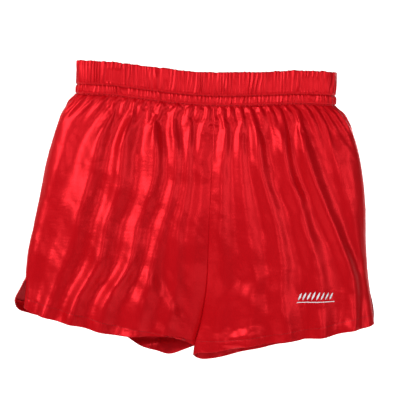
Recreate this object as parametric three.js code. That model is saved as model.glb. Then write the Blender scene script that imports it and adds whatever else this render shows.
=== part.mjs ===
// Satin boxing shorts, hanging from the waistband as a flattened tube with two short legs.
// Millimetres. +Z up, +X towards the wearer's left, -Y is the front.
// The origin is the middle of the waistband, level with the top of its two ends.
//
// Every piece is drawn once for the front left quarter of the garment (x > 0, y < 0).
// The other quarters are copies turned over by a negative scale, as a tailor cuts on folded cloth.
import * as THREE from "three";

// ---- Clearances and cloth -------------------------------------------------------------------
const seamGap = 0.3; // between any two pieces that are sewn or lie together
const clothWall = 1.0; // one layer of shell satin, drawn thicker than it is
const allowanceWall = 0.8; // an overlocked seam allowance or a turned hem

// ---- Waistband ------------------------------------------------------------------------------
const waistHalf = 168; // half of the relaxed waistband, laid flat
const waistDepth = 30; // front face to back face
const casingWall = 0.8; // each of the casing's two layers
const elasticWall = 1.4;
const upperElasticHeight = 27;
const lowerElasticHeight = 9.6;
const topFold = 1.5; // folded cloth above the upper channel
const middleSeam = 2.0; // stitched cloth between the two channels
const bottomSeam = 2.7; // stitched cloth below the lower channel
const waistSag = 8; // how far the band hangs down between the two hanging points
const sagHalf = 130; // half of the stretch that sags
const straightSteps = 8; // stations along a flat quarter of the band
const roundSteps = 5; // stations around its end

// ---- Shell ----------------------------------------------------------------------------------
const neck = 4; // straight drop below the band before the cloth swells
const sideFlare = 60; // how much wider than the band each side of the shell grows
const flareRise = 65; // how quickly it gets there
const frontFullness = 30; // how far the front stands out from the middle plane
const backFullness = 34;
const fullnessRise = 60;
const crotchDrop = 348; // crotch point, below the origin
const riseStart = 190; // where the centre seams start to draw in towards the crotch
const sideHemDrop = 323; // hem at the side
const frontHemFall = 40; // how much lower the front hem is at the inseam than at the side
const backHemFall = 57;
const hemBow = 0.75; // 1 is a straight hem, and less than 1 bows it downwards
const ventTop = 282; // the side seam ends here, and the side vent begins
const ventOpening = 7; // how far each edge stands off the middle plane at the hem
const ventLobe = 9; // how far the back panel's vent corner reaches out past the front's
const acrossSteps = 12; // stations across a panel
const downSteps = 11; // stations down a panel
const riseStations = 2; // the centre seam's allowance lies under this many of them
const riseRows = downSteps - 2; // and runs down this many rows, to just above the crotch
const hemHeight = 14;
const allowanceWidth = 8;
const seamClear = 1.5; // a standing allowance keeps this far inside the cloth it joins
const sideEdge = 0.97; // hems stop this far across the panel, clear of the side seam

// ---- Labels and embroidery ------------------------------------------------------------------
const sizeLabel = { x: -17, width: 29, height: 17, wall: 0.6, below: 2 };
const careLabel = { width: 24, height: 21, wall: 0.5 };
const motif = { x: 154, drop: 292, width: 48, height: 14, wall: 0.8 };
const backingMargin = 3; // the embroidery's backing shows this far around it, inside
const backingWall = 0.6;
const facetSag = 0.5; // the middle of a facet lies at most this far inside the true curve

// ---- Values that follow from the above ------------------------------------------------------
const upperChannel = upperElasticHeight + 2 * seamGap;
const lowerChannel = lowerElasticHeight + 2 * seamGap;
const bandHeight = topFold + upperChannel + middleSeam + lowerChannel + bottomSeam;
const bandWall = 2 * casingWall + elasticWall + 2 * seamGap;
const endRadius = waistDepth / 2;
const straightRun = waistHalf - endRadius;
const quarterRun = straightRun + (endRadius * Math.PI) / 2;
const neckInset = bandWall + seamGap; // the shell starts just inside the band
const neckHalf = waistHalf - neckInset;
const neckDepth = endRadius - neckInset;
const quarterSteps = straightSteps + roundSteps;

// ---- Colours --------------------------------------------------------------------------------
const cloths = {
  shell: new THREE.MeshStandardMaterial({ color: 0xc4141f, roughness: 0.32, metalness: 0 }),
  lining: new THREE.MeshStandardMaterial({ color: 0xa30f18, roughness: 0.55, metalness: 0 }),
  elastic: new THREE.MeshStandardMaterial({ color: 0xe9e6df, roughness: 0.85, metalness: 0 }),
  sizeTape: new THREE.MeshStandardMaterial({ color: 0x3b3d38, roughness: 0.6, metalness: 0 }),
  careTape: new THREE.MeshStandardMaterial({ color: 0xf2f0ea, roughness: 0.5, metalness: 0 }),
  thread: new THREE.MeshStandardMaterial({ color: 0xf0f1f4, roughness: 0.45, metalness: 0 }),
  backing: new THREE.MeshStandardMaterial({ color: 0xdedcd6, roughness: 0.9, metalness: 0 }),
};

const shorts = new THREE.Group();

// ---- Helpers --------------------------------------------------------------------------------

// Adds one named piece. sideSign is -1 for the wearer's right, faceSign is -1 for the back.
function addPiece(name, geometry, material, sideSign = 1, faceSign = 1) {
  const piece = new THREE.Mesh(geometry, material);
  piece.name = name;
  piece.scale.set(sideSign, faceSign, 1);
  shorts.add(piece);
}

// Moves every vertex of a geometry to where place(x, y, z) says.
function bend(geometry, place) {
  const points = geometry.attributes.position;
  for (let i = 0; i < points.count; i++) {
    const p = place(points.getX(i), points.getY(i), points.getZ(i));
    points.setXYZ(i, p.x, p.y, p.z);
  }
  geometry.computeVertexNormals();
  return geometry;
}

// A slab of unit size between 0 and 1 on each axis, cut into stations for bending.
function unitSlab(across, down) {
  return new THREE.BoxGeometry(1, 1, 1, across, 1, down).translate(0.5, 0.5, 0.5);
}

const smooth = (from, to, value) => THREE.MathUtils.smoothstep(value, from, to);

// How far the band and the top of the shell hang below the level of the ends.
function sagAt(x) {
  const share = Math.min(1, Math.abs(x) / sagHalf);
  return waistSag * (1 - share * share) ** 2;
}

// ---- Waistband and elastics -----------------------------------------------------------------

// A point on the band: run along the outside from the centre front, depth in from the outer face.
function bandPoint(run, depth, height) {
  const turn = Math.max(0, run - straightRun) / endRadius;
  const reach = endRadius - depth;
  const x = Math.min(run, straightRun) + reach * Math.sin(turn);
  return new THREE.Vector3(x, -reach * Math.cos(turn), height - sagAt(x));
}

// Even stations become long steps on the flat and short ones around the end.
function stationRun(share) {
  const station = share * quarterSteps;
  if (station <= straightSteps) return (straightRun * station) / straightSteps;
  return straightRun + ((quarterRun - straightRun) * (station - straightSteps)) / roundSteps;
}

function channelHole(top, height) {
  const hole = new THREE.Path();
  hole.moveTo(casingWall, -top);
  hole.lineTo(bandWall - casingWall, -top);
  hole.lineTo(bandWall - casingWall, -top - height);
  hole.lineTo(casingWall, -top - height);
  hole.closePath();
  return hole;
}

// A quarter of the folded casing, with its two channels open at both seams.
function casingQuarter() {
  const section = new THREE.Shape();
  section.moveTo(0, 0);
  section.lineTo(0, -bandHeight);
  section.lineTo(bandWall, -bandHeight);
  section.lineTo(bandWall, 0);
  section.closePath();
  section.holes.push(channelHole(topFold, upperChannel));
  section.holes.push(channelHole(topFold + upperChannel + middleSeam, lowerChannel));
  const settings = { steps: quarterSteps, depth: 1, bevelEnabled: false };
  const share = seamGap / 2 / quarterRun;
  return bend(new THREE.ExtrudeGeometry(section, settings), (depth, height, along) =>
    bandPoint(stationRun(along) * (1 - 2 * share) + share * quarterRun, depth, height),
  );
}

// A whole loop of elastic, lathed as a ring and then laid along the band.
function elasticLoop(top, height) {
  const inner = 1; // the ring's own inner radius, only used to tell its two faces apart
  const outer = inner + elasticWall;
  const profile = [
    new THREE.Vector2(inner, -top - height),
    new THREE.Vector2(outer, -top - height),
    new THREE.Vector2(outer, -top),
    new THREE.Vector2(inner, -top),
    new THREE.Vector2(inner, -top - height),
  ];
  const ring = new THREE.LatheGeometry(profile, 4 * quarterSteps);
  return bend(ring, (x, level, z) => {
    const depth = casingWall + seamGap + outer - Math.hypot(x, z);
    const across = Math.atan2(Math.abs(x), Math.abs(z)) / (Math.PI / 2);
    const p = bandPoint(stationRun(across), depth, level);
    if (Math.abs(x) < 1e-9) p.x = 0;
    if (Math.abs(z) < 1e-9) p.y = 0;
    return new THREE.Vector3(p.x * Math.sign(x), p.y * -Math.sign(-z), p.z);
  });
}

function addWaistband() {
  for (const [face, faceSign] of [["front", 1], ["back", -1]]) {
    for (const [side, sideSign] of [["left", 1], ["right", -1]]) {
      const name = `waistband_${face}_${side}`;
      addPiece(name, casingQuarter(), cloths.shell, sideSign, faceSign);
    }
  }
  const upperTop = topFold + seamGap;
  const lowerTop = topFold + upperChannel + middleSeam + seamGap;
  addPiece("upper_elastic", elasticLoop(upperTop, upperElasticHeight), cloths.elastic);
  addPiece("lower_elastic", elasticLoop(lowerTop, lowerElasticHeight), cloths.elastic);
}

// ---- Shell ----------------------------------------------------------------------------------

const front = { fullness: frontFullness, hemFall: frontHemFall, lobe: 0 };
const back = { fullness: backFullness, hemFall: backHemFall, lobe: ventLobe };

// Half of the width of the front or back at a height z.
function halfWidth(face, z) {
  const drop = Math.max(0, -z - bandHeight - neck);
  const lobe = face.lobe * smooth(ventTop, sideHemDrop - 10, -z);
  return neckHalf + sideFlare * (1 - Math.exp(-drop / flareRise)) + lobe;
}

// How far the cloth stands out from the middle plane at a share u across the panel.
function standOff(face, u, z) {
  const drop = Math.max(0, topOf(u) - neck - z);
  const full = neckDepth + (face.fullness - neckDepth) * (1 - Math.exp(-drop / fullnessRise));
  const round = Math.max(0, u * neckHalf - (neckHalf - neckDepth)) / neckDepth;
  const atBand = Math.sqrt(Math.max(0, 1 - round * round));
  const tube = Math.sqrt(1 - u ** 4);
  const lobe = Math.sin(Math.PI * u) ** 0.8;
  const spread = THREE.MathUtils.lerp(atBand, tube, smooth(0, 40, drop));
  const outline = THREE.MathUtils.lerp(spread, lobe, smooth(riseStart, crotchDrop - 5, -z));
  const vent = ventOpening * smooth(ventTop, sideHemDrop, -z) * smooth(0.5, 1, u);
  const edge = seamGap / 2 + vent;
  return edge + (full - edge) * outline;
}

// The outer face of a panel. u runs from the centre seam (0) to the side seam (1).
function outerFace(face, u, z) {
  const x = seamGap / 2 + u * (halfWidth(face, z) - seamGap / 2);
  return new THREE.Vector3(x, -standOff(face, u, z), z);
}

// A point that lies inset under the outer face, measured square to the cloth.
function underFace(face, u, z, inset) {
  const step = 1e-3;
  const here = outerFace(face, u, z);
  const back = outerFace(face, Math.max(0, u - step), z);
  const ahead = outerFace(face, Math.min(1, u + step), z);
  const lower = outerFace(face, u, z - 1);
  const inward = ahead.sub(back).cross(here.clone().sub(lower)).normalize();
  inward.negate();
  const x = Math.max(seamGap / 2, here.x + inward.x * inset);
  const y = Math.min(-seamGap / 2, here.y + inward.y * inset);
  return new THREE.Vector3(x, y, z);
}

const topOf = (u) => -(bandHeight + seamGap) - sagAt(u * neckHalf);
const hemOf = (face, u) => -(sideHemDrop + face.hemFall * (1 - u) ** hemBow);

// Stations crowd towards the seams, where the cloth turns.
const acrossShare = (q) => (1 - Math.cos(Math.PI * q)) / 2;
const hemShare = 1 - 1 / downSteps;

// Height at a share w down the panel. The last row is exactly the hem's height.
function rowHeight(face, u, w) {
  const top = topOf(u);
  const fold = hemOf(face, u) + hemHeight;
  if (w >= hemShare) {
    return THREE.MathUtils.lerp(fold, fold - hemHeight, (w - hemShare) / (1 - hemShare));
  }
  return THREE.MathUtils.lerp(top, fold, (w / hemShare) ** 1.5);
}

function panel(face) {
  return bend(unitSlab(acrossSteps, downSteps), (q, inset, level) => {
    const u = acrossShare(q);
    return underFace(face, u, rowHeight(face, u, 1 - level), inset * clothWall);
  });
}

// The turned-up hem, lying inside the panel's last row.
function hem(face) {
  return bend(unitSlab(acrossSteps, 1), (q, inset, level) => {
    const u = THREE.MathUtils.clamp(acrossShare(q), 1 - sideEdge, sideEdge);
    const z = rowHeight(face, u, 1 - level * (1 - hemShare));
    return underFace(face, u, z, clothWall + seamGap + inset * allowanceWall);
  });
}

// The centre seam's allowance, pressed to one side. It keeps to the panel's own stations.
function riseSeam(face) {
  return bend(unitSlab(riseStations, riseRows), (q, inset, level) => {
    const u = acrossShare((q * riseStations) / acrossSteps);
    const z = rowHeight(face, u, ((1 - level) * riseRows) / downSteps);
    return underFace(face, u, z, clothWall + seamGap + inset * allowanceWall);
  });
}

// An allowance that points inwards from a seam on the middle plane, from height top to bottom.
function standingSeam(top, bottom, edgeAt, direction, steps) {
  return bend(unitSlab(1, steps), (q, across, level) => {
    const z = THREE.MathUtils.lerp(top, bottom, 1 - level);
    const reach = direction > 0 ? q : 1 - q;
    const x = edgeAt(z) + direction * reach * allowanceWidth;
    return new THREE.Vector3(x, (across - 0.5) * allowanceWall, z);
  });
}

const sideSeamEdge = (z) => halfWidth(front, z) - clothWall - seamClear;
const inseamEdge = () => seamGap / 2 + clothWall + seamClear;

function addLeg(side, sideSign) {
  const turn = (name, geometry, cloth, faceSign) =>
    addPiece(`${name}_${side}`, geometry, cloth, sideSign, faceSign);
  turn("front_panel", panel(front), cloths.shell, 1);
  turn("back_panel", panel(back), cloths.shell, -1);
  turn("front_hem", hem(front), cloths.lining, 1);
  turn("back_hem", hem(back), cloths.lining, -1);
  const sideTop = topOf(1) - 2 * neck;
  const sideSeam = standingSeam(sideTop, -ventTop, sideSeamEdge, -1, downSteps);
  turn("side_seam", sideSeam, cloths.lining, 1);
  const inseamBottom = hemOf(front, 0) + 2;
  const inseam = standingSeam(-crotchDrop, inseamBottom, inseamEdge, 1, 2);
  turn("inseam", inseam, cloths.lining, 1);
}

// ---- Labels and embroidery ------------------------------------------------------------------

// A flat label inside the back of the band. out is its distance from the band's inner face.
function labelPlate(label, x, top, out) {
  const near = endRadius - bandWall - out;
  const plate = new THREE.BoxGeometry(label.width, label.wall, label.height);
  return plate.translate(x, near - label.wall / 2, top - label.height / 2);
}

function addLabels() {
  const sizeTop = -sizeLabel.below - sagAt(sizeLabel.x);
  const careTop = sizeTop - sizeLabel.height - seamGap;
  addPiece("size_label", labelPlate(sizeLabel, sizeLabel.x, sizeTop, seamGap), cloths.sizeTape);
  addPiece("care_label", labelPlate(careLabel, sizeLabel.x, careTop, seamGap), cloths.careTape);
}

// A thin patch that follows the front panel, from inset near to inset far under its outer face.
function patch(width, height, near, far) {
  return bend(unitSlab(4, 1), (q, inset, level) => {
    const z = -motif.drop + (level - 0.5) * height;
    const u = (motif.x + (q - 0.5) * width) / halfWidth(front, z);
    return underFace(front, u, z, THREE.MathUtils.lerp(near, far, inset));
  });
}

function addEmbroidery() {
  const stitched = patch(motif.width, motif.height, -seamGap - motif.wall, -seamGap);
  addPiece("embroidered_motif", stitched, cloths.thread);
  const under = clothWall + seamGap + facetSag;
  const wide = motif.width + 2 * backingMargin;
  const tall = motif.height + 2 * backingMargin;
  addPiece("embroidery_backing", patch(wide, tall, under, under + backingWall), cloths.backing);
}

addWaistband();
addLeg("left", 1);
addLeg("right", -1);
addPiece("front_rise_seam", riseSeam(front), cloths.lining, 1, 1);
addPiece("back_rise_seam", riseSeam(back), cloths.lining, -1, -1);
addLabels();
addEmbroidery();

export default shorts;
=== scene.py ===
# %% [markdown]
# # Satin boxing shorts, hung from the waistband
# The shorts are four panels of shiny polyester satin gathered into an elastic waistband.
# Almost everything that makes them look real is folding: hundreds of small gathers at the band,
# which join into a few long folds that swing outwards to the hems.
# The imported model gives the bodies, the joints and the places. This script gives the cloth.

import math

import bpy
import numpy as np
from mathutils import Matrix, Vector


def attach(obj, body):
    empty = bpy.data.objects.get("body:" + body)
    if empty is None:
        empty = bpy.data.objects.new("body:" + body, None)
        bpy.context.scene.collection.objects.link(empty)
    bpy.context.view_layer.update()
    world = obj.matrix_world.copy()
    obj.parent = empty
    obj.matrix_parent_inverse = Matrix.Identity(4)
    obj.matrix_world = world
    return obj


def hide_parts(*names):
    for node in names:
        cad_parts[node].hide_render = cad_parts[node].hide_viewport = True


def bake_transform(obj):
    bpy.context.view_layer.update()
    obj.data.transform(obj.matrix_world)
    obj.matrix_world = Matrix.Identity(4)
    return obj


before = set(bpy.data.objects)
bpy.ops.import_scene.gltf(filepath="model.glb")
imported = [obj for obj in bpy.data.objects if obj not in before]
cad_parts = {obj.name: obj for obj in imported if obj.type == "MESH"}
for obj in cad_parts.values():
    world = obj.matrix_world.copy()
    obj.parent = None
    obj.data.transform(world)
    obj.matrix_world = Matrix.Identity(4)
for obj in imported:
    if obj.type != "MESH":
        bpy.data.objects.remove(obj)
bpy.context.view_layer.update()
MM = 0.001

# %% [markdown]
# ## Tools for curves and noise
# A cutter draws a pattern as a few points joined by a smooth line, and `through` does the same:
# it returns a curve that passes through each point. `ripple` is a smooth random field with a fixed
# seed, so that the cloth creases the same way on every run.

# %% Curves and noise
def through(*points):
    """A smooth curve through (place, value) points. Places are in rising order."""
    at, value = np.array(points, float).T
    slope = np.gradient(value, at)

    def curve(x):
        x = np.clip(np.asarray(x, float), at[0], at[-1])
        k = np.clip(np.searchsorted(at, x, side="right") - 1, 0, len(at) - 2)
        step = at[k + 1] - at[k]
        t = (x - at[k]) / step
        bend = t * t * (3 - 2 * t)
        lift = slope[k] * (t**3 - 2 * t**2 + t) + slope[k + 1] * (t**3 - t**2)
        return value[k] * (1 - bend) + value[k + 1] * bend + lift * step

    return curve


def smooth(low, high, x):
    t = np.clip((x - low) / (high - low), 0, 1)
    return t * t * (3 - 2 * t)


def ripple(x, y, seed):
    """Smooth noise between -1 and 1, with a new value at each whole x and y."""
    lattice = np.random.default_rng(seed).uniform(-1, 1, (128, 128))
    i, j = np.floor(x).astype(int), np.floor(y).astype(int)
    s, t = x - i, y - j
    s, t = s * s * s * (s * (6 * s - 15) + 10), t * t * t * (t * (6 * t - 15) + 10)
    corner = lambda a, b: lattice[(i + a) % 128, (j + b) % 128]
    near = corner(0, 0) * (1 - s) + corner(1, 0) * s
    far = corner(0, 1) * (1 - s) + corner(1, 1) * s
    return near * (1 - t) + far * t


print("noise at a point:", float(ripple(np.array(1.5), np.array(2.5), 1)))

# %% [markdown]
# ## The outline
# The band hangs in a shallow sag between the two points that hold it. The side seams swell out
# just below the band and fall to the hems. The front hems are higher than the back ones, as on
# any shorts hung flat, so the inside of the back shows below the front.

# %% Outline of the garment, in millimetres
BAND_HEIGHT = 44.0
CENTRE = through((-420, -1), (-356, 1), (-335, 6), (-300, 11), (-200, 12), (0, 12.5))
CROTCH = -356.0
VENT_TOP = -284.0
SIDE = {
    "left": through((-330, 232), (-300, 229), (-260, 222.5), (-220, 218), (-170, 214.5),
                    (-130, 208.5), (-100, 201.5), (-80, 195), (-62, 188), (-50, 179), (-44, 169.3)),
    "right": through((-330, 224), (-300, 223), (-284, 223), (-250, 221.5), (-220, 217),
                     (-170, 209.5), (-130, 203.5), (-100, 196), (-80, 189.5), (-62, 182.5),
                     (-50, 176), (-44, 169.3)),
}
VENT_CORNER = {
    "left": through((-330, 0), (-312, 2.5), (-296, 1.5), (-284, 0)),
    "right": through((-330, 7), (-314, 13.5), (-300, 8), (-284, 0)),
}
HEM = {
    ("front", "left"): through((0, -371), (15, -370), (45, -362), (85, -352.5), (113, -347),
                               (133, -344), (150, -342), (174, -335), (207, -327), (232, -321)),
    ("front", "right"): through((0, -362), (12, -356), (27, -351.5), (60, -350.5), (88, -351.5),
                                (118, -348), (145, -342), (171, -337), (200, -330), (224, -322)),
    ("back", "left"): through((0, -378), (13, -381), (30, -379), (60, -372), (85, -365),
                              (113, -358), (150, -347), (190, -334), (222, -325), (235, -317)),
    ("back", "right"): through((0, -363), (13, -370), (29, -377.5), (45, -374.5), (64, -370),
                               (88, -358), (130, -346), (171, -338), (212, -331), (228, -325),
                               (238, -315)),
}


def sag(x):
    """How far the band hangs below the level of its ends."""
    return 8 * (1 - np.clip(np.abs(x) / 140, 0, 1) ** 2) ** 2


print("waist sag at the middle:", float(sag(0)), "mm")

# %% [markdown]
# ## The folds
# A fold is a ridge that runs down the cloth. The long ones were placed, each as a line of
# (height, place) points; between two neighbours the cloth goes down into a valley and up again.
# The same idea, with random lines, gives the middle-sized folds and the gathers under the band.

# %% Long folds, as places of each ridge at falling heights
HEIGHTS = (-395, -350, -310, -260, -210, -160, -110, -60, -44)
FRONT_RIDGES = (
    (-226, -224, -221, -216, -210, -201, -186, -166, -158),
    (-206, -199, -188, -171, -156, -142, -133, -121, -117),
    (-172, -165, -152, -128, -119, -106, -101, -97, -95),
    (-130, -123, -113, -85, -78, -61, -61, -66, -66),
    (-86, -79, -70, -57, -43, -33, -35, -42, -43),
    (-44, -36, -27, -25, -26, -20, -19, -20, -20),
    (-6, -5, -4, -5, -6, -3, -4, -3, -3),
    (32, 31, 30, 30, 26, 25, 28, 30, 30),
    (68, 66, 70, 72, 62, 53, 47, 50, 50),
    (118, 117, 113, 105, 96, 81, 71, 68, 68),
    (160, 160, 159, 150, 135, 120, 107, 100, 98),
    (206, 205, 204, 200, 175, 150, 133, 124, 122),
    (226, 224, 221, 214, 203, 190, 173, 155, 148),
)
FRONT_HEIGHT = (4, 6, 7.5, 6.5, 5, 4, 2, 4.5, 3.5, 6, 6.5, 7, 4)
BACK_RIDGES = (
    (-226, -224, -219, -212, -205, -196, -181, -164, -155),
    (-186, -180, -171, -160, -151, -140, -128, -118, -115),
    (-136, -133, -128, -119, -104, -92, -84, -79, -78),
    (-92, -88, -84, -74, -62, -52, -47, -45, -45),
    (-42, -40, -37, -33, -26, -19, -15, -12, -12),
    (8, 12, 16, 20, 24, 27, 26, 24, 24),
    (60, 58, 55, 52, 55, 60, 58, 54, 54),
    (112, 108, 101, 92, 90, 87, 84, 80, 80),
    (158, 153, 147, 139, 127, 118, 111, 106, 104),
    (200, 196, 190, 182, 172, 160, 146, 136, 133),
    (228, 226, 223, 216, 207, 197, 182, 163, 156),
)
BACK_HEIGHT = (4, 7, 6, 7, 5, 4.5, 6, 7, 5.5, 7, 4)


def between_ridges(x, z, ridges, heights, sharp=1.25):
    """Height of the cloth: each ridge's height on its line, and nought halfway to the next."""
    lines = np.stack([through(*zip(HEIGHTS, r))(z) for r in ridges])
    below = np.zeros(x.shape, int)
    for line in lines[1:-1]:
        below += (x > line).astype(int)
    below = np.clip(below, 0, len(ridges) - 2)
    a = np.take_along_axis(lines, below[None], 0)[0]
    b = np.take_along_axis(lines, below[None] + 1, 0)[0]
    t = np.clip((x - a) / (b - a), 0, 1)
    tall = np.array(heights, float)
    height = tall[below] * (1 - smooth(0, 1, t)) + tall[below + 1] * smooth(0, 1, t)
    crest = 0.5 + 0.5 * np.cos(2 * np.pi * t)
    return height * crest**sharp


def random_ridges(share, drop, count, wander, seed):
    """Folds from count random ridges across a panel, drifting as they fall."""
    drift = wander * ripple(share * count / 3, drop / 45, seed)
    phase = share * count + drift
    cell = ripple(phase * 0.37, drop / 60, seed + 1)
    return (0.5 + 0.5 * np.cos(2 * np.pi * (phase + 0.35 * cell))) * (0.65 + 0.45 * cell)


print("ridges on the front:", len(FRONT_RIDGES), "and on the back:", len(BACK_RIDGES))

# %% [markdown]
# ## One panel of the shell
# A panel is a grid of points. Its columns run from the centre seam to the side seam, and its rows
# from the band to the hem. The same rule places the front and back panels, and both read the same
# lines at a seam, so that their edges meet.

# %% Points of a panel
COLUMNS, ROWS = (150, 220)
VENT_ROW, CROTCH_ROW = 0.82, 0.93
SEAM_WRAP = {"left": 0.012, "right": -0.035}


def panel_heights(face, side, share, down):
    """Height of each grid point: the rows reach the vent's top and the crotch at the same place
    on the front and the back."""
    top = -BAND_HEIGHT + 1.2 - sag(share * 170)
    hem = HEM[face, side](share * (SIDE[side](-315) + VENT_CORNER[side](-315) * (face == "back")))
    vent = (1 - share) * -306 + share * VENT_TOP
    low = hem + (1 - share) ** 2 * (CROTCH - hem) + (1 - (1 - share) ** 2) * (hem - vent) * -0.36
    low = np.where(share < 1e-6, CROTCH, low)
    z = np.where(
        down < VENT_ROW,
        top + (vent - top) * (down / VENT_ROW),
        np.where(
            down < CROTCH_ROW,
            vent + (low - vent) * (down - VENT_ROW) / (CROTCH_ROW - VENT_ROW),
            low + (hem - low) * (down - CROTCH_ROW) / (1 - CROTCH_ROW),
        ),
    )
    return z


def panel_points(face, side, share, down):
    """Places, in millimetres, of grid points that are share across and down the panel."""
    flip = 1 if side == "left" else -1
    front = face == "front"
    z = panel_heights(face, side, share, down)
    drop = np.clip(-BAND_HEIGHT - sag(share * 170) - z, 0, None)
    middle = CENTRE(z)
    wide = SIDE[side](z) + (0 if front else 1) * VENT_CORNER[side](z)

    # around: 0 on the outermost line of the side, 1 at the centre, negative past the outermost line
    wrap = SEAM_WRAP[side] * smooth(2, 30, drop) * (1 if front else -1)
    around = (1 - share) - share * wrap
    turn = 0.045 + 0.02 * smooth(0, 60, drop)
    reach = (np.sqrt(around**2 + turn**2) - turn) / (np.sqrt(1 + turn**2) - turn)
    x = flip * wide - (flip * wide - middle) * reach

    # the tube of the leg: flat across the middle, round at the side, drawn in towards the crotch
    full = 13.2 + (14 if front else 18) * (1 - np.exp(-drop / 55))
    side_turn = 0.085 + 0.10 * smooth(0, 70, drop)
    tube = around / np.sqrt(around**2 + side_turn**2) * np.sqrt(1 + side_turn**2)
    rise = smooth(185, -CROTCH - 3, -z)
    low = np.clip(1 - around, 0, 1)
    inner = np.sin(np.pi / 2 * np.clip(low / 0.35, 0, 1)) ** 0.8
    depth = full * tube * (1 - rise * (1 - inner))

    # the folds
    shifted = x + 2.5 * ripple(x / 50, z / 60, 3 if front else 13)
    ridges, tall = (FRONT_RIDGES, FRONT_HEIGHT) if front else (BACK_RIDGES, BACK_HEIGHT)
    grown = smooth(4, 62, drop) * (0.85 + 0.25 * ripple(x / 90, z / 70, 7))
    folds = 1.7 * between_ridges(shifted, z, ridges, tall) * grown
    seed = 20 + 10 * (side == "left") + 5 * front
    patch = 0.5 + 0.5 * ripple(share * 5, drop / 85, seed)
    middling = 1.2 * ripple(x / 28 + z / 38, z / 40, seed + 6) * smooth(30, 90, drop)
    away = np.hypot(x - 8, z - CROTCH)
    angle = np.arctan2(z - CROTCH, np.abs(x - 8))
    whiskers = ripple(angle * 5 + 9 * (side == "left"), away / 55, seed + 8)
    middling = middling + 3.0 * whiskers * smooth(14, 45, away) * smooth(190, 80, away)
    fade = np.exp(-drop / (8 + 25 * patch**2))
    gathers = 2.6 * random_ridges(share, drop, 15, 0.35, seed + 2) * fade * smooth(-2, 7, drop)
    held = smooth(0.0, 0.13, around)
    lift = (folds + middling + gathers - 2.5 * smooth(0, 40, drop)) * held
    lift = lift * (1 - 0.75 * rise * (1 - smooth(0, 0.25, low)))

    # below the vent's top the two edges part
    part = 5.5 * smooth(-VENT_TOP - 2, 330, -z) * smooth(0.45, 0, around)
    y = (depth + lift + part) * (-1 if front else 1)
    y = y + 3.5 * np.sin(z / 41 + flip) * smooth(0.2, 0, around) * smooth(10, 60, drop)
    return np.stack([x, y, z], -1)


def grid(columns, rows, share=(0, 1), down=(0, 1)):
    return np.meshgrid(np.linspace(*share, columns + 1), np.linspace(*down, rows + 1))


sample = panel_points("front", "left", *grid(COLUMNS, ROWS)).reshape(-1, 3)
print("front left panel spans", sample.min(0), sample.max(0))

# %% [markdown]
# ## From points to cloth
# A piece of cloth is a mesh grid with a UV map in metres, so that a weave keeps its real size.
# Solidify gives it a thickness on its inner side, so that cut edges and hems show one.

# %% Making a mesh from a grid of points
def cloth(name, points, uv, wall=0.4, flip=False, close=False):
    """A mesh of points[row, column], in millimetres. uv is in millimetres too."""
    rows, columns = points.shape[:2]
    index = np.arange(rows * columns).reshape(rows, columns)
    if close:
        index = np.vstack([index, index[:1]])
    a, b, c, d = index[:-1, :-1], index[1:, :-1], index[1:, 1:], index[:-1, 1:]
    faces = np.stack([a, b, c, d] if not flip else [a, d, c, b], -1).reshape(-1, 4)
    mesh = bpy.data.meshes.new(name)
    mesh.from_pydata((points.reshape(-1, 3) * MM).tolist(), [], faces.tolist())
    layer = mesh.uv_layers.new(name="cloth")
    flat = (uv.reshape(-1, 2) * MM)[faces.reshape(-1)]
    layer.data.foreach_set("uv", flat.astype(np.float32).ravel())
    mesh.shade_smooth()
    piece = bpy.data.objects.new(name, mesh)
    bpy.context.collection.objects.link(piece)
    if wall:
        solid = piece.modifiers.new("thickness", "SOLIDIFY")
        solid.thickness = wall * MM
        solid.offset = -1
    return piece


def normals_of(points):
    """Unit normals of a grid of points, pointing out of the garment for the front's order."""
    along = np.gradient(points, axis=1)
    down = np.gradient(points, axis=0)
    n = np.cross(down, along)
    return n / np.maximum(np.linalg.norm(n, axis=-1, keepdims=True), 1e-9)


print("cloth helper ready")

# %% [markdown]
# ## The satin
# Boxing shorts are polyester satin: the long warp threads float on the face, so light slides
# along them. The shader is a mostly matt red with a broad red-tinted gloss that is stretched
# across the threads (anisotropy), and a bump of fine puckers. The threads themselves are a tenth
# of a millimetre apart, too fine to show, so they are left to the gloss. The wrong side has no
# floats and is duller.

# %% Material helpers
def linear(code):
    """An sRGB hex colour as linear red, green, blue and alpha."""
    parts = [int(code[i : i + 2], 16) / 255 for i in (0, 2, 4)]
    return [c / 12.92 if c <= 0.04045 else ((c + 0.055) / 1.055) ** 2.4 for c in parts] + [1]


def add(tree, kind, settings=None, **links):
    """Adds a node. settings are its properties; links fill its sockets, by value or by link."""
    node = tree.nodes.new(kind)
    for name, value in (settings or {}).items():
        setattr(node, name, value)
    for name, value in links.items():
        socket = node.inputs[name.replace("_", " ")]
        if isinstance(value, bpy.types.NodeSocket):
            tree.links.new(value, socket)
        else:
            socket.default_value = value
    return node


def new_material(name):
    material = bpy.data.materials.new(name)
    material.use_nodes = True
    tree = material.node_tree
    surface = tree.nodes["Principled BSDF"]
    return material, tree, surface


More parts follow.
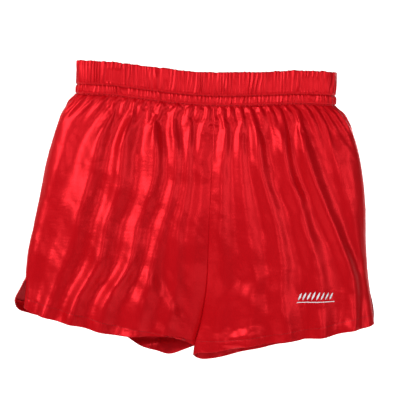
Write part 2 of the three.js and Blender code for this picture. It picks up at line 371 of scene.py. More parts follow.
def satin(name, deep, bright, roughness, metallic, pucker):
    """Polyester satin. deep and bright are its two colours, mixed in random patches."""
    material, tree, surface = new_material(name)
    uv = add(tree, "ShaderNodeUVMap", {"uv_map": "cloth"})
    # puckers about 11 mm across and 4 mm down, then patches of colour 40 mm by 90 mm
    place = add(tree, "ShaderNodeMapping", Vector=uv.outputs[0], Scale=(90, 260, 1))
    streak = add(tree, "ShaderNodeTexNoise", Vector=place.outputs[0], Scale=1, Detail=2)
    wide = add(tree, "ShaderNodeMapping", Vector=uv.outputs[0], Scale=(26, 11, 1))
    cloud = add(tree, "ShaderNodeTexNoise", Vector=wide.outputs[0], Scale=1, Detail=2)
    mix = add(tree, "ShaderNodeMix", {"data_type": "RGBA"}, Factor=cloud.outputs["Fac"])
    mix.inputs["A"].default_value = linear(deep)
    mix.inputs["B"].default_value = linear(bright)
    tree.links.new(mix.outputs["Result"], surface.inputs["Base Color"])
    bump = add(tree, "ShaderNodeBump", Height=streak.outputs["Fac"], Strength=pucker,
               Distance=0.0006)
    tree.links.new(bump.outputs[0], surface.inputs["Normal"])
    tangent = add(tree, "ShaderNodeTangent", {"direction_type": "UV_MAP", "uv_map": "cloth"})
    tree.links.new(tangent.outputs[0], surface.inputs["Tangent"])
    surface.inputs["Roughness"].default_value = roughness
    surface.inputs["Metallic"].default_value = metallic
    surface.inputs["Anisotropic"].default_value = 0.45
    surface.inputs["Specular IOR Level"].default_value = 0.5
    surface.inputs["Specular Tint"].default_value = linear("ff8894")
    return material


SATIN = satin("polyester_satin_face", "bd040e", "cc0a16", 0.36, 0.3, 0.3)
SATIN_BACK = satin("polyester_satin_wrong_side", "a0070e", "ad0a12", 0.55, 0.0, 0.2)
print("materials so far:", [m.name for m in bpy.data.materials])

# %% [markdown]
# ## Draping
# Each panel is cut about 250 mm wide, but it is sewn to 170 mm of band. Cloth keeps its length, so
# the spare width buckles into gathers and folds. Blender's cloth does the same here: the shell
# starts wider than the garment, most of all at the band, and the cloth remembers that size. Over
# eight frames the band, the seams and the hems are drawn in to their places by a shape key, and
# the cloth between them has to crease. A thin core in each leg stops front and back from crossing.

# %% The shell as one coarse mesh
COARSE = (62, 92)
PANEL_KEYS = [(face, side) for face in ("front", "back") for side in ("left", "right")]
VENT_AT, CROTCH_AT = round(VENT_ROW * COARSE[1]), round(CROTCH_ROW * COARSE[1])
VENT_ROW, CROTCH_ROW = VENT_AT / COARSE[1], CROTCH_AT / COARSE[1]


def seam_key(face, side, row, column):
    """Points that are sewn together share a key."""
    if column == 0 and row < CROTCH_AT:
        return ("centre", face, row)
    if column == 0 and row == CROTCH_AT:
        return ("crotch",)
    if column == 0:
        return ("inseam", side, row)
    if column == COARSE[0] and row <= VENT_AT:
        return ("side", side, row)
    return (face, side, row, column)


def sew_shell():
    """The four panels joined at their seams: points in metres, faces, and each panel's grid of
    point numbers."""
    ids, drawn, count, quads, grids = {}, [], [], [], {}
    for face, side in PANEL_KEYS:
        points = panel_points(face, side, *grid(*COARSE))
        index = np.zeros(points.shape[:2], int)
        for r, c in np.ndindex(index.shape):
            key = seam_key(face, side, r, c)
            if key not in ids:
                ids[key] = len(drawn)
                drawn.append(np.zeros(3)), count.append(0)
            k = index[r, c] = ids[key]
            drawn[k] = drawn[k] + points[r, c]
            count[k] += 1
        a, b, c, d = index[:-1, :-1], index[1:, :-1], index[1:, 1:], index[:-1, 1:]
        order = [a, d, c, b] if faces_in(face, side) else [a, b, c, d]
        quads += np.stack(order, -1).reshape(-1, 4).tolist()
        grids[face, side] = index
    return np.array(drawn) / np.array(count)[:, None] * MM, quads, grids


def faces_in(face, side):
    return (face == "front") != (side == "left")


def core(side):
    """A thin lens inside one leg, so that the front and back can't cross."""
    across, z = np.meshgrid(np.linspace(0, 1, 25), np.linspace(-62, -392, 30))
    flip = 1 if side == "left" else -1
    inner = 1 + 44 * smooth(190, 330, -z)
    x = inner + across * (SIDE[side](z) * 0.93 - inner)
    half = 0.3 + 6.5 * np.sin(np.pi * (0.25 + 0.75 * across)) * smooth(-50, -110, z)
    half = np.where(z < -200, 0.3 + 6.5 * np.sin(np.pi * across), half)
    layers = [np.stack([flip * x, s * half, z], -1) for s in (-1, 1)]
    loop = np.concatenate([layers[0], layers[1][:, ::-1], layers[0][:, :1]], axis=1)
    piece = cloth(f"core_{side}", loop, loop[..., :2], wall=0)
    piece.modifiers.new("collide", "COLLISION")
    piece.collision.thickness_outer = 0.001
    return piece


print("coarse grid of a panel:", COARSE, "vent row", VENT_AT, "crotch row", CROTCH_AT)

# %% Draping the shell
GRIP = {"rest": 0.04, "side": 0.9, "hem": 0.6, "centre": 0.7}


def drape(frames=20):
    """Runs the cloth. Returns the panels' drawn grids and draped grids, in millimetres."""
    drawn, quads, grids = sew_shell()
    x, z = drawn[:, 0] / MM, drawn[:, 2] / MM
    drop = np.clip(-BAND_HEIGHT - sag(x) - z, 0, None)
    wide = drawn.copy()
    wide[:, 0] = (CENTRE(z) + (x - CENTRE(z)) * (1.015 + 0.08 * np.exp(-drop / 30))) * MM
    wide[:, 2] = (-BAND_HEIGHT + (z + BAND_HEIGHT) * 1.008) * MM
    mesh = bpy.data.meshes.new("shell")
    mesh.from_pydata(wide.tolist(), [], quads)
    shell = bpy.data.objects.new("shell", mesh)
    bpy.context.collection.objects.link(shell)
    shell.shape_key_add(name="wide")
    narrow = shell.shape_key_add(name="narrow")
    narrow.data.foreach_set("co", drawn.ravel())
    for value, number in ((0, 1), (1, 9)):
        narrow.value = value
        narrow.keyframe_insert("value", frame=number)
    weight = np.full(len(drawn), GRIP["rest"])
    for g in grids.values():
        weight[g[:, -1]], weight[g[-1]], weight[g[:, 0]] = GRIP["side"], GRIP["hem"], GRIP["centre"]
    for g in grids.values():
        weight[g[0]] = 1
    held = shell.vertex_groups.new(name="held")
    for i, value in enumerate(weight):
        held.add([i], value, "REPLACE")
    inner = [core("left"), core("right")]
    live = shell.modifiers.new("drape", "CLOTH")
    cloth_set = live.settings
    cloth_set.vertex_group_mass = "held"
    cloth_set.pin_stiffness = 1
    cloth_set.quality = 8
    cloth_set.mass = 0.0002
    cloth_set.tension_stiffness = cloth_set.compression_stiffness = 30
    cloth_set.shear_stiffness = 8
    cloth_set.bending_stiffness = 0.2
    cloth_set.bending_damping = 0.02
    cloth_set.air_damping = 1
    live.collision_settings.distance_min = 0.001
    live.collision_settings.collision_quality = 2
    live.point_cache.frame_end = frames
    for number in range(1, frames + 1):
        bpy.context.scene.frame_set(number)
    at = np.zeros(len(drawn) * 3)
    final = shell.evaluated_get(bpy.context.evaluated_depsgraph_get())
    final.data.vertices.foreach_get("co", at)
    at = at.reshape(-1, 3)
    moved = np.linalg.norm(at - drawn, axis=1) / MM
    print("cloth moved, in mm: middle", np.median(moved), "most", moved.max())
    bpy.context.scene.frame_set(1)
    for piece in [shell, *inner]:
        bpy.data.objects.remove(piece)
    return [{key: p[index] / MM for key, index in grids.items()} for p in (drawn, at)]


DRAWN, DRAPED = drape()

# %% [markdown]
# ## Finer cloth over the drape
# The broad folds follow the drawn lines, and the draping gives them their narrow creases. The
# grid is coarse, so it is refined with the same smooth curve that a subdivision surface
# gives, and then the small gathers and puckers are laid on it along its normals.

# %% Refine and add the small gathers
def refine(points, columns, rows):
    def weights(coarse, fine):
        at = np.linspace(0, coarse, fine + 1)
        k = np.clip(np.floor(at).astype(int), 0, coarse - 1)
        t = at - k
        w = np.zeros((fine + 1, coarse + 1))
        for shift, value in ((-1, -t**3 / 2 + t**2 - t / 2), (0, 1.5 * t**3 - 2.5 * t**2 + 1),
                             (1, -1.5 * t**3 + 2 * t**2 + t / 2), (2, t**3 / 2 - t**2 / 2)):
            np.add.at(w, (np.arange(fine + 1), np.clip(k + shift, 0, coarse)), value)
        return w

    down, across = weights(points.shape[0] - 1, rows), weights(points.shape[1] - 1, columns)
    return np.einsum("ri,cj,ijk->rck", down, across, points)


def smoothed(points, reach):
    """Each row of points smoothed over reach columns. A row is turned about its own ends first, so
    the seams stay where they are."""
    width = int(3 * reach) + 1
    bell = np.exp(-0.5 * (np.arange(-width, width + 1) / reach) ** 2)
    left = 2 * points[:, :1] - points[:, width:0:-1]
    right = 2 * points[:, -1:] - points[:, -2 : -width - 2 : -1]
    row = np.concatenate([left, points, right], axis=1)
    return sum(w * row[:, i : i + points.shape[1]] for i, w in enumerate(bell / bell.sum()))


def folded(face, side, keep=0.13):
    """The drawn broad folds, with the draped cloth's narrow creases on them. Away from the band
    only part of each narrow crease is kept."""
    drawn, draped = DRAWN[face, side], DRAPED[face, side]
    down = np.linspace(0, 1, len(drawn))[:, None, None]
    kept = 1 - (1 - keep) * smooth(0.04, 0.24, down)
    return smoothed(drawn, 1.2) + kept * (draped - smoothed(draped, 2.4))


def small_gathers(face, side, share, down, points):
    front = face == "front"
    x, z = points[..., 0], points[..., 2]
    drop = np.clip(-BAND_HEIGHT - sag(x) - z, 0, None)
    seed = 120 + 10 * (side == "left") + 5 * front
    patch = 0.5 + 0.5 * ripple(share * 7, drop / 60, seed)
    fine = 1.1 * random_ridges(share, drop, 31, 0.35, seed + 1) * np.exp(-drop / (7 + 12 * patch**2))
    creases = 0.24 * ripple(x / 7 + z / 30, z / 11, seed + 4) * smooth(10, 60, drop)
    hem = smooth(CROTCH_ROW - 0.008, CROTCH_ROW + 0.004, down)
    puckers = hem * 0.3 * ripple(x / 3.4, z / 14, seed + 5)
    stitched = -0.12 * np.exp(-(((down - CROTCH_ROW) / 0.006) ** 2))
    inside = smooth(0, 0.03, share) * smooth(1, 0.97, share)
    return (fine + creases + puckers + stitched) * inside


def finished_panel(face, side):
    share, down = grid(COLUMNS, ROWS)
    points = refine(folded(face, side), COLUMNS, ROWS)
    sign = 1 if not faces_in(face, side) else -1
    lift = small_gathers(face, side, share, down, points)
    return points + sign * normals_of(points) * lift[..., None], share, down


# %% [markdown]
# ## The four panels
# Each panel is cut nearly straight, about 250 mm wide and 330 mm long, and gathered to 170 mm at
# the band. Its inner side shows the wrong side of the satin.


def swings(piece):
    """Bakes the piece's placement into its mesh; nothing here makes it swing with its leg."""
    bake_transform(piece)


def flat_uv(share, z, face, side):
    """Where a point lay on the flat cloth, in millimetres."""
    shift = 300 * (face == "back") + 700 * (side == "left")
    return np.stack([share * 250 + shift, z * 1.04], -1)


PANELS, GRIDS = {}, {}
for face, side in PANEL_KEYS:
    points, share, down = finished_panel(face, side)
    uv = flat_uv(share, points[..., 2], face, side)
    name = f"{face}_panel_{side}"
    piece = cloth(f"{name}_cloth", points, uv, flip=faces_in(face, side))
    piece.data.materials.append(SATIN)
    piece.data.materials.append(SATIN_BACK)
    piece.modifiers["thickness"].material_offset = 1
    swings(piece)
    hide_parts(name)
    PANELS[face, side] = piece
    outward = normals_of(points) * (-1 if faces_in(face, side) else 1)
    GRIDS[face, side] = (points, outward, uv)
print("panels:", len(PANELS), "faces each:", len(piece.data.polygons))

# %% [markdown]
# ## The waistband
# The casing is a folded strip of the same satin, a good quarter longer than the relaxed elastic
# inside it, so it ruffles. Two rows of stitches hold it to the elastic and divide it into a tall
# and a short channel. Each quarter is a closed loop in section: up the outside, over the top and
# down the inside.

# %% Points of a quarter of the band
ROW_UPPER, ROW_LOWER = -30.1, -42.4
STRAIGHT, HALF_DEPTH = 153.4, 13.4
BAND_SEAM = 12.5  # where the quarters meet at the centre
CLIPS = ((-118, -18), (135, -18))


def on_band(run, out, z):
    """A point on the flattened ring: run is measured along it from its middle."""
    turn = np.clip(run - STRAIGHT, 0, None) / HALF_DEPTH
    reach = HALF_DEPTH + out
    return np.clip(run, None, STRAIGHT) + reach * np.sin(turn), reach * np.cos(turn), z


def ruffles(run, z, seed):
    """The small pleats that the elastic draws the casing into."""
    pinch = np.exp(-(((z - ROW_UPPER) / 1.25) ** 2)) + np.exp(-(((z - ROW_LOWER) / 1.25) ** 2))
    channel = np.where(z > ROW_UPPER, 0, 50.5)
    drift = 1.1 * ripple(run / 15 + channel, z / 90, seed)
    drift = drift + 0.25 * ripple(run / 4 + channel, z / 26, seed + 1)
    size = 0.7 + 0.6 * ripple(run / 7 + channel, z / 17, seed + 2)
    pleat = (0.5 + 0.5 * np.cos(2 * np.pi * (run / 5.6 + drift))) ** 1.4
    small = 0.5 + 0.5 * np.cos(2 * np.pi * (run / 2.6 + 2.3 * drift))
    return (1.55 * pleat * size + 0.35 * small) * (1 - 0.72 * np.clip(pinch, 0, 1)), pinch


def band_points(face, side, columns=300):
    flip = 1 if side == "left" else -1
    last = STRAIGHT + HALF_DEPTH * math.pi / 2
    outer = np.linspace(-BAND_HEIGHT, -1.0, 58)
    inner = np.linspace(-1.0, -BAND_HEIGHT, 30)
    arc = np.linspace(0, math.pi, 7)[1:-1]
    level = np.concatenate([outer, -1.0 + np.sin(arc) * 1.0, inner])
    out = np.concatenate([outer * 0 + 1.1, np.cos(arc) * 1.1, inner * 0 - 1.1])
    run, row = np.meshgrid(np.linspace(BAND_SEAM * flip, last, columns + 1), np.arange(len(level)))
    z, side_out = level[row], out[row]
    seed = 60 + 10 * (face == "back") + 5 * (side == "left")
    signed = run * flip
    ruffle, pinch = ruffles(run, z, seed)
    pinch = np.clip(pinch, 0, 1)
    for clip_x, clip_z in CLIPS:
        near = smooth(14, 10, np.abs(signed - clip_x)) * smooth(11, 7, np.abs(z - clip_z))
        ruffle = ruffle * (1 - 0.75 * near)
    outside = smooth(-0.2, 0.9, side_out)
    inside = smooth(0.2, -0.9, side_out)
    swell = 0.9 * np.sin(np.pi * np.clip(z / ROW_UPPER, 0, 1)) + 0.5 * smooth(ROW_UPPER, -36, z)
    out = side_out + outside * (ruffle + swell * 0.7 - 0.75 * pinch) - inside * 0.35 * ruffle
    notch = outside * 0.8 * (1 - pinch) * np.exp(-(((signed - BAND_SEAM) / 1.3) ** 2))
    out = out + inside * 0.6 * pinch - notch
    z = z + (0.6 * ripple(run / 6, run * 0, seed + 3) + 0.35 * ruffle) * smooth(-6, 0, z)
    x, y, z = on_band(run, out, z)
    z = z - sag(x) * (1 if face == "front" else 1 - 0.25 * smooth(-30, 0, z))
    return np.stack([flip * x, y * (-1 if face == "front" else 1), z], -1), run


BAND = {}
for face, side in PANEL_KEYS:
    points, run = band_points(face, side)
    girth = np.cumsum(np.r_[0, np.linalg.norm(np.diff(points[:, 0], axis=0), axis=1)])
    uv = np.stack([run * 1.5, girth[:, None] + 0 * run], -1)
    name = f"waistband_{face}_{side}"
    turned = not faces_in(face, side)
    piece = cloth(f"{name}_casing", points, uv, wall=0, flip=turned, close=True)
    piece.data.materials.append(SATIN)
    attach(piece, "waist")
    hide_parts(name)
    BAND[face, side] = (points, normals_of(points) * (1 if faces_in(face, side) else -1))
print("casing quarter faces:", len(piece.data.polygons))

# %% [markdown]
# ## Hems and seam allowances
# Every edge of cut satin is turned in or overlocked, because satin frays. The turned hem lies
# inside the last strip of each panel. The allowances of the centre, side and inner leg seams lie
# just inside the panels. Each is a strip of its panel's own grid, moved in along the normals.

# %% Strips that follow a panel on its inner side
def strip(name, face, side, rows, columns, depth, wall=0.35):
    """The part of a panel between two shares of its rows and columns, depth mm inside it."""
    points, outward, uv = GRIDS[face, side]
    row = slice(round(rows[0] * ROWS), round(rows[1] * ROWS) + 1)
    column = slice(round(columns[0] * COLUMNS), round(columns[1] * COLUMNS) + 1)
    inner = points[row, column] - outward[row, column] * depth
    piece = cloth(name, inner, uv[row, column], wall, faces_in(face, side))
    piece.data.materials.append(SATIN_BACK)
    swings(piece)
    return piece


def inner_strip(node, name, face, side, rows, columns, depth):
    piece = strip(name, face, side, rows, columns, depth)
    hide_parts(node)
    return piece


for face, side in PANEL_KEYS:
    hem = inner_strip(f"{face}_hem_{side}", f"{face}_hem_{side}_turned", face, side,
                      (CROTCH_ROW, 0.998), (0.02, 0.98), 0.75)
    hem.data.materials[0] = SATIN
for side in ("left", "right"):
    inner_strip(f"side_seam_{side}", f"side_seam_{side}_allowance", "front", side,
                (0.02, VENT_ROW), (0.935, 0.993), 0.9)
    inner_strip(f"inseam_{side}", f"inseam_{side}_allowance", "front", side,
                (CROTCH_ROW + 0.005, 0.99), (0.01, 0.08), 1.4)
for face, side in (("front", "left"), ("back", "right")):
    inner_strip(f"{face}_rise_seam", f"{face}_rise_allowance", face, side,
                (0.01, CROTCH_ROW - 0.03), (0.006, 0.047), 0.9)
print("hems and allowances made")

# %% [markdown]
# ## Stitches
# A lockstitch is a row of short thread loops that sink a little into the cloth. One Geometry Nodes
# tree makes every row: it samples a line, puts one stitch on each sample, turned along the line and
# standing on the cloth, and gives it the thread's material.

# %% The stitch tree
def node_tree(name, inputs):
    tree = bpy.data.node_groups.new(name, "GeometryNodeTree")
    tree.interface.new_socket("Geometry", in_out="INPUT", socket_type="NodeSocketGeometry")
    for label, kind, value in inputs:
        socket = tree.interface.new_socket(label, in_out="INPUT", socket_type=kind)
        if value is not None:
            socket.default_value = value
    tree.interface.new_socket("Geometry", in_out="OUTPUT", socket_type="NodeSocketGeometry")
    return tree, tree.nodes.new("NodeGroupInput"), tree.nodes.new("NodeGroupOutput")


def thread_tree(name, spacing, thickness, length, axis, ball, soft):
    """A tree that lays one thread on each sample of a line and turns it so that its axis runs
    along the line and it stands on the cloth. Its length is in metres, or the name of an
    attribute of the line that holds it. ball is the segments and rings of one thread."""
    inputs = [("Spacing", "NodeSocketFloat", spacing), ("Thickness", "NodeSocketFloat", thickness),
              ("Thread", "NodeSocketMaterial", None)]
    by_attribute = isinstance(length, str)
    if not by_attribute:
        inputs.append(("Length", "NodeSocketFloat", length))
    tree, given, result = node_tree(name, inputs)
    line = add(tree, "GeometryNodeMeshToCurve", Mesh=given.outputs["Geometry"])
    dots = add(tree, "GeometryNodeCurveToPoints", {"mode": "LENGTH"}, Curve=line.outputs[0],
               Length=given.outputs["Spacing"])
    out = add(tree, "GeometryNodeInputNamedAttribute", {"data_type": "FLOAT_VECTOR"},
              Name="outward")
    along = add(tree, "FunctionNodeAlignRotationToVector", {"axis": axis},
                Vector=dots.outputs["Tangent"])
    stand = add(tree, "FunctionNodeAlignRotationToVector", {"axis": "Z", "pivot_axis": axis},
                Rotation=along.outputs[0], Vector=out.outputs["Attribute"])
    one = add(tree, "GeometryNodeMeshUVSphere", Segments=ball[0], Rings=ball[1], Radius=0.5)
    if by_attribute:
        stored = add(tree, "GeometryNodeInputNamedAttribute", {"data_type": "FLOAT"}, Name=length)
    reach = stored.outputs["Attribute"] if by_attribute else given.outputs["Length"]
    size = add(tree, "ShaderNodeCombineXYZ", X=reach, Y=given.outputs["Thickness"],
               Z=given.outputs["Thickness"])
    rows = add(tree, "GeometryNodeInstanceOnPoints", Points=dots.outputs["Points"],
               Instance=one.outputs["Mesh"], Rotation=stand.outputs[0], Scale=size.outputs[0])
    real = add(tree, "GeometryNodeRealizeInstances", Geometry=rows.outputs[0])
    if soft:
        real = add(tree, "GeometryNodeSetShadeSmooth", Geometry=real.outputs[0])
    dyed = add(tree, "GeometryNodeSetMaterial", Geometry=real.outputs[0],
               Material=given.outputs["Thread"])
    tree.links.new(dyed.outputs[0], result.inputs[0])
    return tree


def thread(name, colour, roughness):
    """Twisted yarn: its fine turns scatter the light, so that it looks soft beside the satin. They
    are drawn as a bump of about a seventh of a millimetre."""
    material, tree, surface = new_material(name)
    at = add(tree, "ShaderNodeTexCoord")
    wave = add(tree, "ShaderNodeTexWave", Vector=at.outputs["Object"], Scale=2200, Distortion=1)
    bump = add(tree, "ShaderNodeBump", Height=wave.outputs["Fac"], Strength=0.3, Distance=0.0001)
    tree.links.new(bump.outputs[0], surface.inputs["Normal"])
    surface.inputs["Base Color"].default_value = linear(colour)
    surface.inputs["Roughness"].default_value = roughness
    return material


STITCHES = thread_tree("stitch_row", 0.0026, 0.0004, 0.0021, "X", (8, 5), soft=True)
RED_THREAD = thread("spun_polyester_thread", "8f0810", 0.6)


def through_tree(piece, tree, **values):
    """Runs a tree on a piece and keeps the result as a plain mesh."""
    live = piece.modifiers.new(tree.name, "NODES")
    live.node_group = tree
    for item in tree.interface.items_tree:
        if item.in_out == "INPUT" and item.name in values:
            live[item.identifier] = values[item.name]
    final = piece.evaluated_get(bpy.context.evaluated_depsgraph_get())
    done = bpy.data.meshes.new_from_object(final)
    piece.modifiers.remove(live)
    piece.data = done
    return piece


def guide(name, lines):
    """Lines of points and outward directions, as a mesh of edges for a tree to follow."""
    mesh = bpy.data.meshes.new(name)
    points = np.concatenate([p for p, _ in lines]) * MM
    outward = np.concatenate([n for _, n in lines])
    edges, start = [], 0
    for p, _ in lines:
        edges += [(start + i, start + i + 1) for i in range(len(p) - 1)]
        start += len(p)
    mesh.from_pydata(points.tolist(), edges, [])
    stored = mesh.attributes.new("outward", "FLOAT_VECTOR", "POINT")
    stored.data.foreach_set("vector", outward.astype(np.float32).ravel())
    piece = bpy.data.objects.new(name, mesh)
    bpy.context.collection.objects.link(piece)
    return piece


def stitch(name, lines, **values):
    piece = through_tree(guide(name, lines), STITCHES, Thread=RED_THREAD, **values)
    return piece


print("stitch tree has", len(STITCHES.nodes), "nodes")

# %% Rows of stitches on hems, vents and band
for face, side in PANEL_KEYS:
    points, outward, _ = GRIDS[face, side]
    row = round((CROTCH_ROW + 0.002) * ROWS)
    edge = round(VENT_ROW * ROWS)
    across = slice(2, COLUMNS - 4)
    lines = [(points[row, across] + 0.1 * outward[row, across], outward[row, across])]
    vent = COLUMNS - 4
    lines.append((points[edge:, vent] + 0.1 * outward[edge:, vent], outward[edge:, vent]))
    rows = stitch(f"hem_stitches_{face}_{side}", lines)
    swings(rows)

for face in ("front", "back"):
    lines = []
    for side in ("left", "right"):
        for level in (ROW_UPPER, ROW_LOWER):
            points, outward = BAND[face, side]
            near = np.argmin(np.abs(np.linspace(-BAND_HEIGHT, -1.0, 58) - level))
            lines.append((points[near] + 0.15 * outward[near], outward[near]))
    rows = stitch(f"band_stitches_{face}", lines, Spacing=0.0024, Length=0.002)
    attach(rows, "waist")
print("stitches made")

# %% [markdown]
# ## Embroidery
# The mark near the hem is machine embroidery: white thread laid side by side across each shape
# (satin stitch), over a soft backing on the inside. The shapes here are a plain row of leaves over
# a line. The tree lays one thread across the shape at each step and makes it as long as the shape
# is wide there.

# %% The embroidery tree
def lay(face, side, x, z, out=0.0):
    """The point of a panel over x and z, and its normal."""
    points, outward, _ = GRIDS[face, side]
    flat, n = points.reshape(-1, 3), outward.reshape(-1, 3)
    x, z = np.atleast_1d(x), np.atleast_1d(z)
    a, b = x.ravel(), z.ravel()
    near = [np.argmin((flat[:, 0] - u) ** 2 + (flat[:, 2] - v) ** 2) for u, v in zip(a, b)]
    p, m = flat[near], n[near]
    y = p[:, 1] - (m[:, 0] * (a - p[:, 0]) + m[:, 2] * (b - p[:, 2])) / m[:, 1]
    at = np.stack([a, y, b], -1) + out * m
    return at.reshape(*x.shape, 3), m.reshape(*x.shape, 3)


SATIN_STITCH = thread_tree("satin_stitch", 0.00042, 0.0005, "wide", "Y", (10, 6), soft=False)
MARK, MARK_TILT = (152, -290), math.radians(4)


def mark_line(start, end, width, steps=24):
    """A shape of the mark: a line from start to end, in mm from its middle, with its width."""
    t = np.linspace(0, 1, steps)
    a = np.outer(1 - t, start) + np.outer(t, end)
    x = MARK[0] + a[:, 0] * math.cos(MARK_TILT) - a[:, 1] * math.sin(MARK_TILT)
    z = MARK[1] + a[:, 0] * math.sin(MARK_TILT) + a[:, 1] * math.cos(MARK_TILT)
    points, outward = lay("front", "left", x, z, 0.35)
    return points, outward, width(t)


def embroider():
    shapes = []
    leaf = lambda wide: lambda t: 0.5 + wide * np.sin(np.pi * t) ** 0.8
    for i in range(8):
        foot = -22 + i * 5.7
        shapes.append(mark_line((foot, -3.6), (foot + 4.6, 6.4 - 0.5 * abs(i - 3)), leaf(2.3)))
    shapes.append(mark_line((-24, -6.6), (24, -6.6), lambda t: 1.2 + 0 * t, 60))
    piece = guide("embroidered_leaves", [(p, n) for p, n, _ in shapes])
    wide = np.concatenate([w for _, _, w in shapes]) * MM
    stored = piece.data.attributes.new("wide", "FLOAT", "POINT")
    stored.data.foreach_set("value", wide.astype(np.float32))
    piece = through_tree(piece, SATIN_STITCH, Thread=WHITE_THREAD)
    swings(piece)
    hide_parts("embroidered_motif")
    return piece


WHITE_THREAD = thread("rayon_embroidery_thread", "eef0f4", 0.4)
print("embroidery faces:", len(embroider().data.polygons))

# %% Backing inside the leg
def felt(name, colour):
    """Pressed fibres, matt and a little fuzzy at the edge. The noise is the size of the fibres'
    tangles, about half a millimetre."""
    material, tree, surface = new_material(name)
    at = add(tree, "ShaderNodeTexCoord")
    fibre = add(tree, "ShaderNodeTexNoise", Vector=at.outputs["Object"], Scale=1800, Detail=4)
    bump = add(tree, "ShaderNodeBump", Height=fibre.outputs["Fac"], Strength=0.6, Distance=0.0003)
    tree.links.new(bump.outputs[0], surface.inputs["Normal"])
    surface.inputs["Base Color"].default_value = linear(colour)
    surface.inputs["Roughness"].default_value = 0.9
    surface.inputs["Sheen Weight"].default_value = 0.3
    return material


x, z = np.meshgrid(np.linspace(-27, 27, 55), np.linspace(10, -10, 21))
tilted = MARK[1] + z + x * math.sin(MARK_TILT)
points, outward = lay("front", "left", MARK[0] + x, tilted, -0.8)
backing = cloth("backing_felt", points, np.stack([x, z], -1), wall=0.3)
backing.data.materials.append(felt("non_woven_backing", "dcdad4"))
swings(backing)
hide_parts("embroidery_backing")
print("backing made")

# %% [markdown]
# ## Labels and elastic
# A dark woven size label is sewn inside the back of the band, and a white satin care label hangs
# under it, folded in two. Both are blank. The elastics stay as the model has them, hidden in the
# casing, with the ribs of woven elastic.

# %% Labels
def tape(name, colour, roughness, ribs):
    """Narrow woven tape, with ribs of the given spacing in millimetres along its UV map."""
    material, tree, surface = new_material(name)
    uv = add(tree, "ShaderNodeUVMap", {"uv_map": "cloth"})
    rib = add(tree, "ShaderNodeTexWave", {"bands_direction": "Y"}, Vector=uv.outputs[0],
              Scale=1000 / ribs / 3.14, Distortion=0.3)
    bump = add(tree, "ShaderNodeBump", Height=rib.outputs["Fac"], Strength=0.4, Distance=0.0002)
    tree.links.new(bump.outputs[0], surface.inputs["Normal"])
    surface.inputs["Base Color"].default_value = linear(colour)
    surface.inputs["Roughness"].default_value = roughness
    return material


def label(name, middle, width, top, bottom, place_y, colour, roughness, layers=1):
    """A blank label hanging from top to bottom, in mm. With two layers it turns up at the foot."""
    x, t = np.meshgrid(np.linspace(-width / 2, width / 2, 25),
                       np.linspace(0, layers, 20 * layers + 1))
    fold = np.where(t <= 1, t, 2 - t)
    z = top + (bottom - top) * fold
    near = place_y(fold, x) - 0.9 * smooth(0.8, 1.6, t) * (layers > 1)
    points = np.stack([middle + x, near, z - sag(middle + x) * (1 - 0.25 * smooth(-30, 0, z))], -1)
    piece = cloth(name, points, np.stack([x, t * abs(top - bottom)], -1), wall=0.25)
    piece.data.materials.append(tape(f"{name}_weave", colour, roughness, 0.9))
    return piece


def flat_lay(t, x):
    return 10.75 - 0.25 * np.sin(x / 3)


def loose_lay(t, x):
    return 10.6 - 1.6 * t**2 - 0.3 * np.sin(x / 5 + 2 * t)


LABEL_MIDDLE = -17
size = label("size_label_tape", LABEL_MIDDLE, 29, -0.4, -19, flat_lay, "3c3e39", 0.55)
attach(size, "waist")
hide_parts("size_label")
care = label("care_label_ribbon", LABEL_MIDDLE, 24, -19.6, -40, loose_lay, "f3f1ec", 0.4, layers=2)
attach(care, "care_label")
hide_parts("care_label")

# Woven elastic is rubber threads bound with polyester: matt, off-white, with a rib each millimetre.
elastic, tree, surface = new_material("woven_elastic")
at = add(tree, "ShaderNodeTexCoord")
rib = add(tree, "ShaderNodeTexWave", {"bands_direction": "Z"}, Vector=at.outputs["Object"],
          Scale=330, Distortion=0.4)
bump = add(tree, "ShaderNodeBump", Height=rib.outputs["Fac"], Strength=0.7, Distance=0.0005)
tree.links.new(bump.outputs[0], surface.inputs["Normal"])
surface.inputs["Base Color"].default_value = linear("e9e6df")
surface.inputs["Roughness"].default_value = 0.85
for name in ("upper_elastic", "lower_elastic"):
    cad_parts[name].material_slots[0].material = elastic
print("labels and elastic finished")

# %% [markdown]
# ## Room, light and camera
# A pale sweep of floor and wall, a large soft light from the upper left, weaker ones from the
# right and the front, one behind for the back, and a camera level with the middle of the shorts.
# The sweep is wide, so that it stays behind a camera that goes round the shorts.

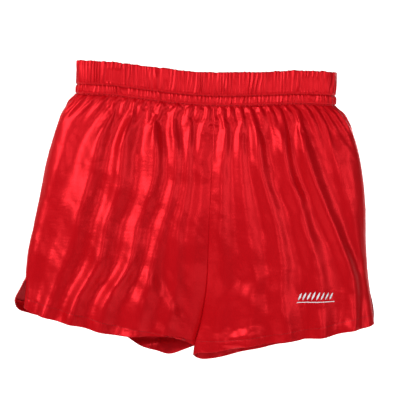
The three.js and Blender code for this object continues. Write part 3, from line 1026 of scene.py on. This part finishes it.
# %% Floor and backdrop
def sweep():
    bend = np.linspace(0, math.pi / 2, 12)
    profile = [(-4.4, -2.4)]
    profile += [(2.2 + 1.2 * math.sin(a), -1.2 - 1.2 * math.cos(a)) for a in bend]
    profile += [(3.4, 6.0)]
    points = np.array([[(x, y, z) for x in (-8, 8)] for y, z in profile]) / MM
    piece = cloth("studio_sweep", points, points[..., :2], wall=0)
    material, tree, surface = new_material("matt_white_paint")
    surface.inputs["Base Color"].default_value = linear("f4f4f4")
    surface.inputs["Roughness"].default_value = 0.9
    surface.inputs["Emission Color"].default_value = linear("ffffff")
    surface.inputs["Emission Strength"].default_value = 0.85
    piece.data.materials.append(material)
    return piece


sweep()

# %% Lights and camera
def soft_light(name, place, aim, size, power, colour="ffffff"):
    lamp = bpy.data.lights.new(name, "AREA")
    lamp.shape, lamp.size, lamp.size_y = "RECTANGLE", size[0], size[1]
    lamp.energy, lamp.color = power, linear(colour)[:3]
    light = bpy.data.objects.new(name, lamp)
    light.location = place
    direction = np.array(aim) - np.array(place)
    light.rotation_euler = Vector(direction).to_track_quat("-Z", "Y").to_euler()
    bpy.context.collection.objects.link(light)
    return light


soft_light("key_left", (-1.3, -1.05, 0.5), (0, 0, -0.18), (0.8, 0.9), 22.5)
soft_light("fill_right", (1.35, -1.3, 0.15), (0, 0, -0.2), (0.5, 0.9), 8)
soft_light("front", (0.15, -2.3, 0.1), (0, 0, -0.2), (0.5, 0.5), 7.5)
soft_light("behind", (1.3, 1.2, 0.5), (0, 0, -0.18), (0.4, 0.6), 5)

world = bpy.data.worlds.new("studio")
bpy.context.scene.world = world
world.use_nodes = True
world.node_tree.nodes["Background"].inputs["Color"].default_value = linear("ffffff")
world.node_tree.nodes["Background"].inputs["Strength"].default_value = 0.1

camera_data = bpy.data.cameras.new("camera")
camera = bpy.data.objects.new("camera", camera_data)
bpy.context.collection.objects.link(camera)
FIELD, DISTANCE, ROLL = 0.520, 1.5, -2.6  # metres across the view, metres away, degrees
camera_data.lens = camera_data.sensor_width * DISTANCE / FIELD
place = Vector((-0.001, -DISTANCE, -0.173))
camera.matrix_world = (
    Matrix.Translation(place)
    @ Matrix.Rotation(math.radians(ROLL), 4, "Y")
    @ Matrix.Rotation(math.radians(90), 4, "X")
)
bpy.context.scene.camera = camera
bpy.context.scene.view_settings.view_transform = "Standard"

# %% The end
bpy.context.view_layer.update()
